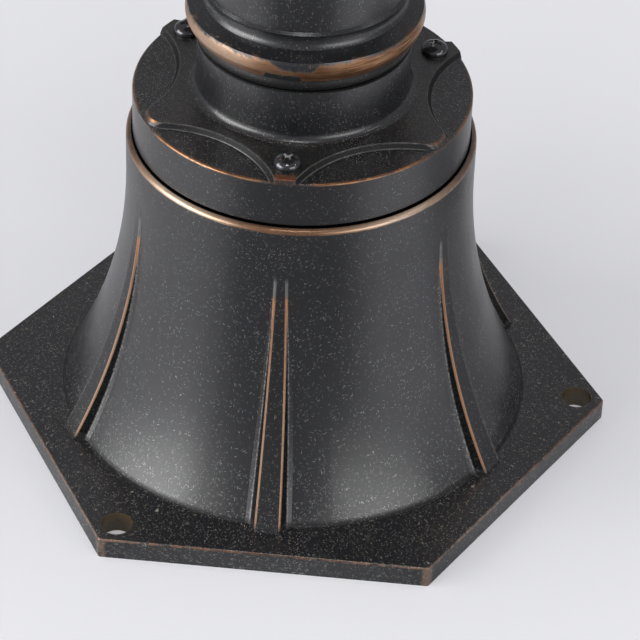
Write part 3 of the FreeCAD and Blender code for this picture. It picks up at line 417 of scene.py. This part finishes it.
# Stem: a broad, uneven rub on the lower face of the collar ring, cut into by black at the front, with a
# painted highlight at its left and painted shade under the ring
ringFoot = 139.2
collar = {
    "warp": 3.0, "dipLeft": (-10, 1.5), "dipRight": (8, 5), "dipDepth": 2.4, "wander": 1.8, "fray": 3.2,
    "ringTop": (149.1, 148.1), "ringLow": (ringFoot, ringFoot + 0.15), "ringOuter": (31.6, 32),
    "chipLeft": (-8.9, -8.3), "chipRight": (2.7, 2.1), "chipFray": 1.6,
    "chipTop": (ringFoot + 4.3, ringFoot + 3.9),
    "ragged": (0.25, 0.45, 0.75, 1.0), "ember": (ringFoot + 3.4, ringFoot + 1.4, 0.0, 0.6),
    "jointTop": 135.55, "step": (ringFoot - 0.1, ringFoot - 0.5, 0.0, 0.55),
    "sheenTurns": (-132,), "sheenSpread": 40, "paintedSheen": 0.6,
    "streak": (9.0, 9.0, 0.45), "streakEdge": (0.42, 0.65), "streakDark": (-10, 20, 0.2, 0.65),
}


def stemMasks(tree, place, brush, stain):
    height, side = place["height"], place["side"]
    front = addNode(tree, "Math", {0: place["depth"], 1: 0.0}, operation="LESS_THAN")
    warped = addNode(tree, "Math", {0: brush, 1: collar["warp"], 2: side}, operation="MULTIPLY_ADD")
    warped = addNode(tree, "Math", {0: warped, 1: collar["warp"] / 2}, operation="SUBTRACT")
    dip = patchWhere(tree, (warped, *collar["dipLeft"]), (warped, *collar["dipRight"]), front,
                     blend="SMOOTHSTEP")
    lowered = height
    for mask, drop in ((stain, collar["wander"]), (dip, collar["dipDepth"]), (brush, collar["fray"])):
        lowered = addNode(tree, "Math", {0: mask, 1: drop, 2: lowered}, operation="MULTIPLY_ADD")
    # a flake of black left at the front of the ring's foot
    uneven = addNode(tree, "Math", {0: brush, 1: collar["chipFray"], 2: height}, operation="MULTIPLY_ADD")
    chip = patchWhere(tree, (warped, *collar["chipLeft"]), (warped, *collar["chipRight"]),
                      (uneven, *collar["chipTop"]), front)
    left = addNode(tree, "Math", {0: 1.0, 1: chip}, operation="SUBTRACT")
    ring = patchWhere(tree, (height, *collar["ringLow"]), (lowered, *collar["ringTop"]),
                      (place["radius"], *collar["ringOuter"]), left)
    rub = patchWhere(tree, ring, (brush, *collar["ragged"]))
    ember = patchWhere(tree, (uneven, *collar["ember"]))
    # painted highlight: paler copper at the left-front of the ring
    paintedSheen = nearTurns(tree, place, collar["sheenTurns"], collar["sheenSpread"])
    paintedSheen = addNode(tree, "Math", {0: paintedSheen, 1: collar["paintedSheen"]}, operation="MULTIPLY")
    # painted shade: black in the joint on the neck and on the step under the ring, and dark streaks along the
    # rub, stronger to the right as painted shade
    paintedShadeAndStreaks = addNode(tree, "Math", {0: height, 1: collar["jointTop"]}, operation="LESS_THAN")
    laid = addNode(tree, "Mapping", {"Vector": place["point"], "Scale": collar["streak"]},
                   vector_type="TEXTURE")
    streak = addNode(tree, "TexNoise", {"Vector": laid, "Scale": 1.0, "Detail": 3.0})
    streak = patchWhere(tree, (streak, *collar["streakEdge"]), (side, *collar["streakDark"]), ring)
    for mask in (patchWhere(tree, (height, *collar["step"])), streak):
        paintedShadeAndStreaks = addNode(tree, "Math", {0: paintedShadeAndStreaks, 1: mask}, operation="MAXIMUM")
    return {"rub": rub, "paintedSheen": paintedSheen, "ember": ember, "paintedShadeAndStreaks": paintedShadeAndStreaks}


# Lantern castings: thin rubs down the corners
lantern = {"corner": 0, "corners": 6, "line": (1.2, 0.6), "worn": (0.35, 0.6), "innermost": 22}


def cornerMasks(tree, place, brush, stain):
    corner = besideNearest(tree, place, lantern["corner"], lantern["corners"])
    outside = addNode(tree, "Math", {0: place["radius"], 1: lantern["innermost"]}, operation="GREATER_THAN")
    line = patchWhere(tree, (corner["beside"], *lantern["line"]), (stain, *lantern["worn"]), outside)
    return {"rub": line}


# Screws: oil-blackened steel, dark with clear glints, and near-white painted glints in the cap screws'
# recesses on the arms towards the cap's axis
driven = {
    "firstTurn": -90, "screws": 3, "circle": 43, "reach": 2.3, "floor": (119.6, 120), "brow": (120.7, 120.5),
    "inner": (0.4, -0.2, 0.12, 1.0), "grainSize": 0.7, "dark": "#57575a", "pale": "#757578",
    "paintedGlint": "#ededeb", "metal": (0.9, 0.3), "roughness": (0.13, 0.24),
}


def blackenedSteel():
    material, tree, shader = newMaterial("blackened_steel")
    place = placeOn(tree)
    height = place["height"]
    grain = addNode(tree, "TexNoise", {"Vector": place["point"], "Scale": 1 / driven["grainSize"],
                                       "Detail": 3.0})
    head = fromNearest(tree, place, driven["firstTurn"], driven["screws"], driven["circle"])
    inside = addNode(tree, "Math", {0: head["reach"], 1: driven["reach"]}, operation="LESS_THAN")
    # painted glints: near white on the recess arms towards the cap's axis
    paintedGlint = patchWhere(tree, inside, (height, *driven["floor"]), (height, *driven["brow"]),
                        (head["beyond"], *driven["inner"]))
    tone = colour(driven["dark"])
    for mask, coat in ((grain, driven["pale"]), (paintedGlint, driven["paintedGlint"])):
        tone = addNode(tree, "Mix", {0: mask, 6: tone, 7: colour(coat)}, 2, data_type="RGBA")
    metal = patchWhere(tree, (paintedGlint, 0.0, 1.0, *driven["metal"]))
    rough = patchWhere(tree, (grain, 0.0, 1.0, *driven["roughness"]))
    joinUp(tree, shader, {"Base Color": tone, "Metallic": metal, "Roughness": rough})
    return material


# Plain finishes whose tone drifts a little, from the first to the second, in clouds of a size in mm
clouded = {
    # zinc-plated steel: pale, faintly blue and cloudy
    "zinc_steel": {"name": "zinc_plated_steel", "cloudSize": 3, "detail": 4.0,
                   "tones": ("#a9adb2", "#d2d4d4"), "sockets": {"Metallic": 1.0}, "roughness": (0.28, 0.42)},
    # turned brass, slightly dulled
    "brass": {"name": "turned_brass", "cloudSize": 2.5, "detail": 4.0, "tones": ("#a98443", "#d8b878"),
              "sockets": {"Metallic": 1.0}, "roughness": (0.24, 0.4)},
    # moulded gasket rubber: matt, with a fine grain
    "rubber": {"name": "gasket_rubber", "cloudSize": 0.4, "detail": 2.0, "tones": ("#0c0c0c", "#171717"),
               "sockets": {"Roughness": 0.8}},
    # white electrical porcelain: smooth and wet-looking under its clear glaze
    "porcelain": {"name": "glazed_porcelain", "cloudSize": 6, "detail": 3.0, "tones": ("#e4e0d4", "#efece4"),
                  "sockets": {"Roughness": 0.12, "Coat_Weight": 0.4, "Coat_Roughness": 0.05}},
    # moulded resin: off-white and half matt
    "block_plastic": {"name": "moulded_block", "cloudSize": 4, "detail": 3.0, "tones": ("#c9c5b8", "#d8d5cb"),
                      "sockets": {"Roughness": 0.5}},
}


def cloudedFinish(finish):
    material, tree, shader = newMaterial(finish["name"], **finish["sockets"])
    point = addNode(tree, "TexCoord", {}, "Object")
    cloud = addNode(tree, "TexNoise", {"Vector": point, "Scale": 1 / (finish["cloudSize"] * mm),
                                       "Detail": finish["detail"]})
    first, second = finish["tones"]
    tone = addNode(tree, "Mix", {0: cloud, 6: colour(first), 7: colour(second)}, 2, data_type="RGBA")
    joinUp(tree, shader, {"Base Color": tone})
    if "roughness" in finish:
        rough = patchWhere(tree, (cloud, 0.0, 1.0, *finish["roughness"]))
        joinUp(tree, shader, {"Roughness": rough})
    return material


pane = {"ior": 1.5, "roughness": 0.02, "first": "#eef4f1", "second": "#f6faf8", "rippleSize": 25,
        "rippleDepth": 0.1, "rippleStrength": 0.25}


def paneGlass():  # drawn glass: clear, with a slow ripple
    material, tree, shader = newMaterial("pane_glass", Transmission_Weight=1.0, IOR=pane["ior"],
                                         Roughness=pane["roughness"])
    point = addNode(tree, "TexCoord", {}, "Object")
    wave = addNode(tree, "TexNoise", {"Vector": point, "Scale": 1 / (pane["rippleSize"] * mm), "Detail": 1.0})
    tone = addNode(tree, "Mix", {0: wave, 6: colour(pane["first"]), 7: colour(pane["second"])}, 2,
                   data_type="RGBA")
    bump = addNode(tree, "Bump", {"Strength": pane["rippleStrength"], "Distance": pane["rippleDepth"] * mm,
                                  "Height": wave})
    joinUp(tree, shader, {"Base Color": tone, "Normal": bump})
    return material


bulb = {"capEnd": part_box("lamp")[0].z / mm + 27, "nickel": "#b9bbbd", "opal": "#f1efe8", "milk": "#f8f6f1",
        "milkSize": 18, "roughness": (0.2, 0.3)}


def opalLamp():  # opal-coated globe on a nickel-plated screw cap
    material, tree, shader = newMaterial("opal_lamp")
    place = placeOn(tree)
    plated = addNode(tree, "Math", {0: place["height"], 1: bulb["capEnd"]}, operation="LESS_THAN")
    milk = addNode(tree, "TexNoise", {"Vector": place["point"], "Scale": 1 / bulb["milkSize"], "Detail": 2.0})
    tone = colour(bulb["opal"])
    for mask, coat in ((milk, bulb["milk"]), (plated, bulb["nickel"])):
        tone = addNode(tree, "Mix", {0: mask, 6: tone, 7: colour(coat)}, 2, data_type="RGBA")
    rough = patchWhere(tree, (plated, 0.0, 1.0, *bulb["roughness"]))
    joinUp(tree, shader, {"Base Color": tone, "Metallic": plated, "Roughness": rough})
    return material


# Each record slot's finish; the foot, the cap and the stem have paint with their own rubs, painted highlights
# and painted shade
finishes = {slot: cloudedFinish(finish) for slot, finish in clouded.items()}
finishes["painted_casting"] = paintedCasting("lantern_paint", cornerMasks, 0.5, 0.15)
finishes["blackened_steel"] = blackenedSteel()
finishes["clear_glass"] = paneGlass()
finishes["opal_lamp"] = opalLamp()
ownPaint = {
    "base_casting": paintedCasting("foot_paint", footMasks, 1.0, 0.27, holeWalls),
    "cap_casting": paintedCasting("cap_paint", capMasks, 0.6, 0.58),
    "stem_casting": paintedCasting("stem_paint", stemMasks, 0.8, 0.15),
}
for row in frame["record"]["subparts"]:
    node = nodes[row["node"]]
    node.data.materials.clear()
    node.data.materials.append(ownPaint.get(row["node"], finishes[row["material_slot"]]))
print("materials set on", len(nodes), "nodes")

# Pan-head machine screws with a cross recess: one is modelled, then copied to every place
screw = {
    "sides": 48, "headRadius": 4.0, "brim": 1.0, "shankRadius": 2.0,
    "domeSteps": ((0.15, 0.45), (0.35, 0.5), (0.6, 0.45), (0.8, 0.38), (0.9, 0.25)),  # inward and up
    "pitch": 0.7, "rootShare": 0.84, "point": 0.8, "pointShare": 0.7,
    "armSpan": 6.8, "armWidth": 1.1, "armDepth": 1.2, "armTaper": (0.3, 0.8), "armTurns": (0, 90),
    "stand": 45, "core": (1.35, 0.5), "coreShare": 1.9, "coreSides": 24, "facing": 0.9,
    "soften": 0.12, "softenSteps": 2, "softenAngle": 40, "smoothAngle": 32, "weld": 0.0001,
}
cageFootAcross = 138.0
cageScrewInset = 4.2  # from a corner of the cage foot to the centre of its screw
screwSets = [
    {"name": "cap_screw_set", "node": "cap_screws", "slot": "blackened_steel", "circle": 43.0,
     "turns": (-90, 30, 150), "seat": 118.0, "length": 25.0, "headDown": False},
    {"name": "cage_screw_set", "node": "cage_screws", "slot": "blackened_steel",
     "circle": cageFootAcross / math.sqrt(3) - cageScrewInset, "turns": (0, 120, 240), "seat": 238.6,
     "length": 15.0, "headDown": True},
    {"name": "bridge_screw_set", "node": "bridge_screws", "slot": "blackened_steel", "circle": 78.5,
     "turns": (90, 270), "seat": 437.6, "length": 7.0, "headDown": False},
    {"name": "earth_screw_turned", "node": "earth_screw", "slot": "brass", "circle": 43.0,
     "turns": (-150,), "seat": 87.5, "length": 8.0, "headDown": True},
]
longest = max(row["length"] for row in screwSets)


def pickFaces(thing, test):  # in edit mode: selects the faces whose normal passes the test
    bpy.ops.mesh.select_all(action="DESELECT")
    bpy.ops.object.mode_set(mode="OBJECT")
    for face in thing.data.polygons:
        face.select = test(face.normal)
    bpy.ops.object.mode_set(mode="EDIT")


def crossCutter():  # two tapered arms and a tapered core, joined to one tool
    bpy.ops.object.select_all(action="DESELECT")
    arms = []
    for turn in screw["armTurns"]:
        bpy.ops.mesh.primitive_cube_add(size=1.0)
        arm = bpy.context.object
        arm.scale = (screw["armSpan"] * mm, screw["armWidth"] * mm, 2 * screw["armDepth"] * mm)
        bpy.ops.object.transform_apply(scale=True)
        bpy.ops.object.mode_set(mode="EDIT")
        bpy.ops.mesh.select_mode(type="FACE")
        pickFaces(arm, lambda normal: normal.z < -screw["facing"])
        bpy.ops.transform.resize(value=(*screw["armTaper"], 1.0))
        bpy.ops.object.mode_set(mode="OBJECT")
        arm.rotation_euler = (0, 0, math.radians(turn))
        bpy.ops.object.transform_apply(rotation=True)
        arms.append(arm)
    wide, narrow = screw["core"]
    bpy.ops.mesh.primitive_cone_add(vertices=screw["coreSides"], radius1=narrow * mm, radius2=wide * mm,
                                    depth=screw["coreShare"] * screw["armDepth"] * mm)
    cutter = bpy.context.object
    for arm in arms:
        arm.select_set(True)
    bpy.ops.object.join()
    return cutter


def pannedScrew():  # head up, its seat at the origin, with the shank of the longest screw
    bpy.ops.object.select_all(action="DESELECT")
    bpy.ops.mesh.primitive_cylinder_add(vertices=screw["sides"], radius=screw["headRadius"] * mm,
                                        depth=screw["brim"] * mm, location=(0, 0, screw["brim"] / 2 * mm))
    piece = bpy.context.object
    bpy.ops.object.transform_apply(location=True)
    bpy.ops.object.mode_set(mode="EDIT")
    bpy.ops.mesh.select_mode(type="FACE")
    pickFaces(piece, lambda normal: normal.z > screw["facing"])
    for inward, upward in screw["domeSteps"]:
        bpy.ops.mesh.inset(thickness=inward * mm, depth=upward * mm)
    pickFaces(piece, lambda normal: normal.z < -screw["facing"])
    bpy.ops.mesh.inset(thickness=(screw["headRadius"] - screw["shankRadius"]) * mm, depth=0)
    threaded = longest - screw["point"]
    grooves = int(threaded / screw["pitch"])
    plain = threaded - grooves * screw["pitch"]
    bpy.ops.mesh.extrude_region_move(TRANSFORM_OT_translate={"value": (0, 0, -plain * mm)})
    flankStep = {"value": (0, 0, -screw["pitch"] / 2 * mm)}
    for groove in range(grooves):  # thread, as grooves one pitch apart
        for share in (screw["rootShare"], 1 / screw["rootShare"]):
            bpy.ops.mesh.extrude_region_move(TRANSFORM_OT_translate=flankStep)
            bpy.ops.transform.resize(value=(share, share, 1.0))
    bpy.ops.mesh.extrude_region_move(TRANSFORM_OT_translate={"value": (0, 0, -screw["point"] * mm)})
    bpy.ops.transform.resize(value=(screw["pointShare"], screw["pointShare"], 1.0))
    bpy.ops.object.mode_set(mode="OBJECT")
    cutter = crossCutter()
    top = screw["brim"] + sum(upward for inward, upward in screw["domeSteps"])
    cutter.location = (0, 0, top * mm)
    bpy.ops.object.select_all(action="DESELECT")
    bpy.context.view_layer.objects.active = piece
    piece.select_set(True)
    recess = piece.modifiers.new("recess", "BOOLEAN")
    recess.object = cutter
    recess.operation = "DIFFERENCE"
    recess.solver = "EXACT"
    recess.use_self = True
    bpy.ops.object.modifier_apply(modifier="recess")
    bpy.data.objects.remove(cutter)
    softened = piece.modifiers.new("soften", "BEVEL")
    softened.width = screw["soften"] * mm
    softened.segments = screw["softenSteps"]
    softened.limit_method = "ANGLE"
    softened.angle_limit = math.radians(screw["softenAngle"])
    bpy.ops.object.modifier_apply(modifier="soften")
    return piece


def setScrews(pattern, row):  # copies the pattern to every place of one set and joins them
    copies = []
    for turn in row["turns"]:
        bpy.ops.object.select_all(action="DESELECT")
        pattern.select_set(True)
        bpy.context.view_layer.objects.active = pattern
        bpy.ops.object.duplicate()
        copy = bpy.context.object
        bpy.ops.object.mode_set(mode="EDIT")
        bpy.ops.mesh.select_all(action="SELECT")
        if row["length"] < longest:  # the thread is cut short and closed again
            bpy.ops.mesh.bisect(plane_co=(0, 0, -row["length"] * mm), plane_no=(0, 0, 1), clear_inner=True,
                                use_fill=True, threshold=screw["weld"] * mm)
        bpy.ops.object.mode_set(mode="OBJECT")
        angle = math.radians(turn)
        out = row["circle"] * mm
        copy.location = (out * math.cos(angle), out * math.sin(angle), row["seat"] * mm)
        copy.rotation_euler = (math.pi if row["headDown"] else 0, 0, angle + math.radians(screw["stand"]))
        bpy.ops.object.transform_apply(location=True, rotation=True)
        copies.append(copy)
    bpy.ops.object.select_all(action="DESELECT")
    for copy in copies:
        copy.select_set(True)
    bpy.context.view_layer.objects.active = copies[0]
    if len(copies) > 1:
        bpy.ops.object.join()
    piece = bpy.context.object
    bpy.ops.object.shade_smooth_by_angle(angle=math.radians(screw["smoothAngle"]))
    piece.name = row["name"]
    piece.data.materials.clear()
    piece.data.materials.append(finishes[row["slot"]])
    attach(piece, "root")
    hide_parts(row["node"])


pattern = pannedScrew()
for row in screwSets:
    setScrews(pattern, row)
bpy.data.objects.remove(pattern)
print("screws set,", sum(len(row["turns"]) for row in screwSets))

# Pale studio floor; its mirror image is dimmer at the front and right, where the room is dark
floor = {
    "size": 12.0,  # in metres; below, distances are in mm and directions in radians
    "tone": "#e2e2e6", "pale": "#ececef", "cloudSize": 1000 / 3, "roughness": 0.75, "dim": "#7a7a7c",
    "front": -1.54, "frontSpread": (0.85, 0.5), "frontFrom": (70, 125),
    "right": 0.3, "rightSpread": (0.5, 0.2), "rightFrom": (120, 170), "rightTo": (250, 210),
    "glow": (-100, 130, 0.27, 0.165), "farGlow": (400, 3000, 0.0, 0.2),
}
bpy.ops.object.select_all(action="DESELECT")
bpy.ops.mesh.primitive_plane_add(size=floor["size"], location=(0, 0, 0))
ground = bpy.context.object
ground.name = "studio_floor"
floorMaterial, tree, shader = newMaterial("studio_floor", Roughness=floor["roughness"])
place = placeOn(tree)
cloud = addNode(tree, "TexNoise", {"Vector": place["point"], "Scale": 1 / floor["cloudSize"], "Detail": 2.0})
tone = addNode(tree, "Mix", {0: cloud, 6: colour(floor["tone"]), 7: colour(floor["pale"])}, 2,
               data_type="RGBA")
aside = {}
for direction in ("front", "right"):
    away = addNode(tree, "Math", {0: place["turn"], 1: floor[direction]}, operation="SUBTRACT")
    aside[direction] = addNode(tree, "Math", {0: away}, operation="ABSOLUTE")
before = patchWhere(tree, (aside["front"], *floor["frontSpread"]), (place["radius"], *floor["frontFrom"]))
behind = patchWhere(tree, (aside["right"], *floor["rightSpread"]), (place["radius"], *floor["rightTo"]),
                    (place["radius"], *floor["rightFrom"]))
shade = addNode(tree, "Math", {0: before, 1: behind}, operation="MAXIMUM")
shade = patchWhere(tree, shade, addNode(tree, "LightPath", {}, "Is Glossy Ray"))
tone = addNode(tree, "Mix", {0: shade, 6: tone, 7: colour(floor["dim"])}, 2, data_type="RGBA")
glow = patchWhere(tree, (place["depth"], *floor["glow"]))
farGlow = patchWhere(tree, (place["radius"], *floor["farGlow"]))
glow = addNode(tree, "Math", {0: glow, 1: farGlow}, operation="ADD")
glow = patchWhere(tree, glow, addNode(tree, "LightPath", {}, "Is Camera Ray"))
joinUp(tree, shader, {"Base Color": tone, "Emission Color": colour(floor["tone"]),
                      "Emission Strength": glow})
ground.data.materials.append(floorMaterial)
print("floor laid")

# Soft panels at the left and right, three small ones for glints on the edges, a broad one overhead that
# nothing mirrors, and a dim room
lamps = [
    {"name": "left_panel", "place": (-3.36, -1.52, 1.04), "aim": 0.06, "size": (3.2, 2.0), "power": 37.0,
     "spread": 120},
    {"name": "right_panel", "place": (2.72, -2.52, 1.0), "aim": 0.06, "size": (3.0, 1.68), "power": 14.2,
     "spread": 120},
    {"name": "left_wing", "place": (-2.32, -2.88, 1.08), "aim": 0.06, "size": (1.8, 1.8), "power": 4.0,
     "spread": 120},
    {"name": "glint_panel", "place": (0.0, -0.55, 1.15), "aim": 0.1, "size": (0.2, 0.2), "power": 1.2},
    {"name": "left_glint", "place": (-1.08, -0.15, 0.81), "aim": 0.1, "size": (0.2, 0.2), "power": 0.6},
    {"name": "right_glint", "place": (1.03, -0.11, 0.88), "aim": 0.1, "size": (0.12, 0.12), "power": 0.34},
    {"name": "top_panel", "place": (0.0, 0.1, 1.6), "aim": 0.0, "size": (1.4, 0.9), "power": 12.0,
     "mirrored": False},
]
for lamp in lamps:
    light = bpy.data.lights.new(lamp["name"], "AREA")
    light.shape = "RECTANGLE"
    light.size, light.size_y = lamp["size"]
    light.energy = lamp["power"]
    light.spread = math.radians(lamp.get("spread", 180))
    panel = bpy.data.objects.new(lamp["name"], light)
    bpy.context.scene.collection.objects.link(panel)
    panel.location = lamp["place"]
    panel.rotation_mode = "QUATERNION"
    towards = Vector((0, 0, lamp["aim"])) - Vector(lamp["place"])
    panel.rotation_quaternion = towards.to_track_quat("-Z", "Y")
    panel.visible_camera = False
    panel.visible_glossy = lamp.get("mirrored", True)
room = {"light": "#868689", "seen": "#e2e2e4"}
world = bpy.data.worlds.new("studio_room")
bpy.context.scene.world = world
world.use_nodes = True
tree = world.node_tree
seen = addNode(tree, "LightPath", {}, "Is Camera Ray")
tone = addNode(tree, "Mix", {0: seen, 6: colour(room["light"]), 7: colour(room["seen"])}, 2, data_type="RGBA")
joinUp(tree, tree.nodes["Background"], {"Color": tone})
print("studio lit by", len(lamps), "panels")

# Camera at the photograph's place
camera = {"place": (63.8, -743.1, 617.0), "aim": (13.51, -76.88, 90.0), "roll": 2.212, "lens": 171.16,
          "sensor": 36.0}
lens = bpy.data.cameras.new("photo_camera")
lens.lens = camera["lens"]
lens.sensor_width = camera["sensor"]
eye = bpy.data.objects.new("photo_camera", lens)
bpy.context.scene.collection.objects.link(eye)
eye.location = Vector(camera["place"]) * mm
eye.rotation_mode = "QUATERNION"
look = (Vector(camera["aim"]) - Vector(camera["place"])).to_track_quat("-Z", "Y")
eye.rotation_quaternion = look @ Quaternion((0, 0, 1), math.radians(camera["roll"]))
bpy.context.scene.camera = eye
bpy.context.scene.view_settings.view_transform = "Standard"
print("camera set")
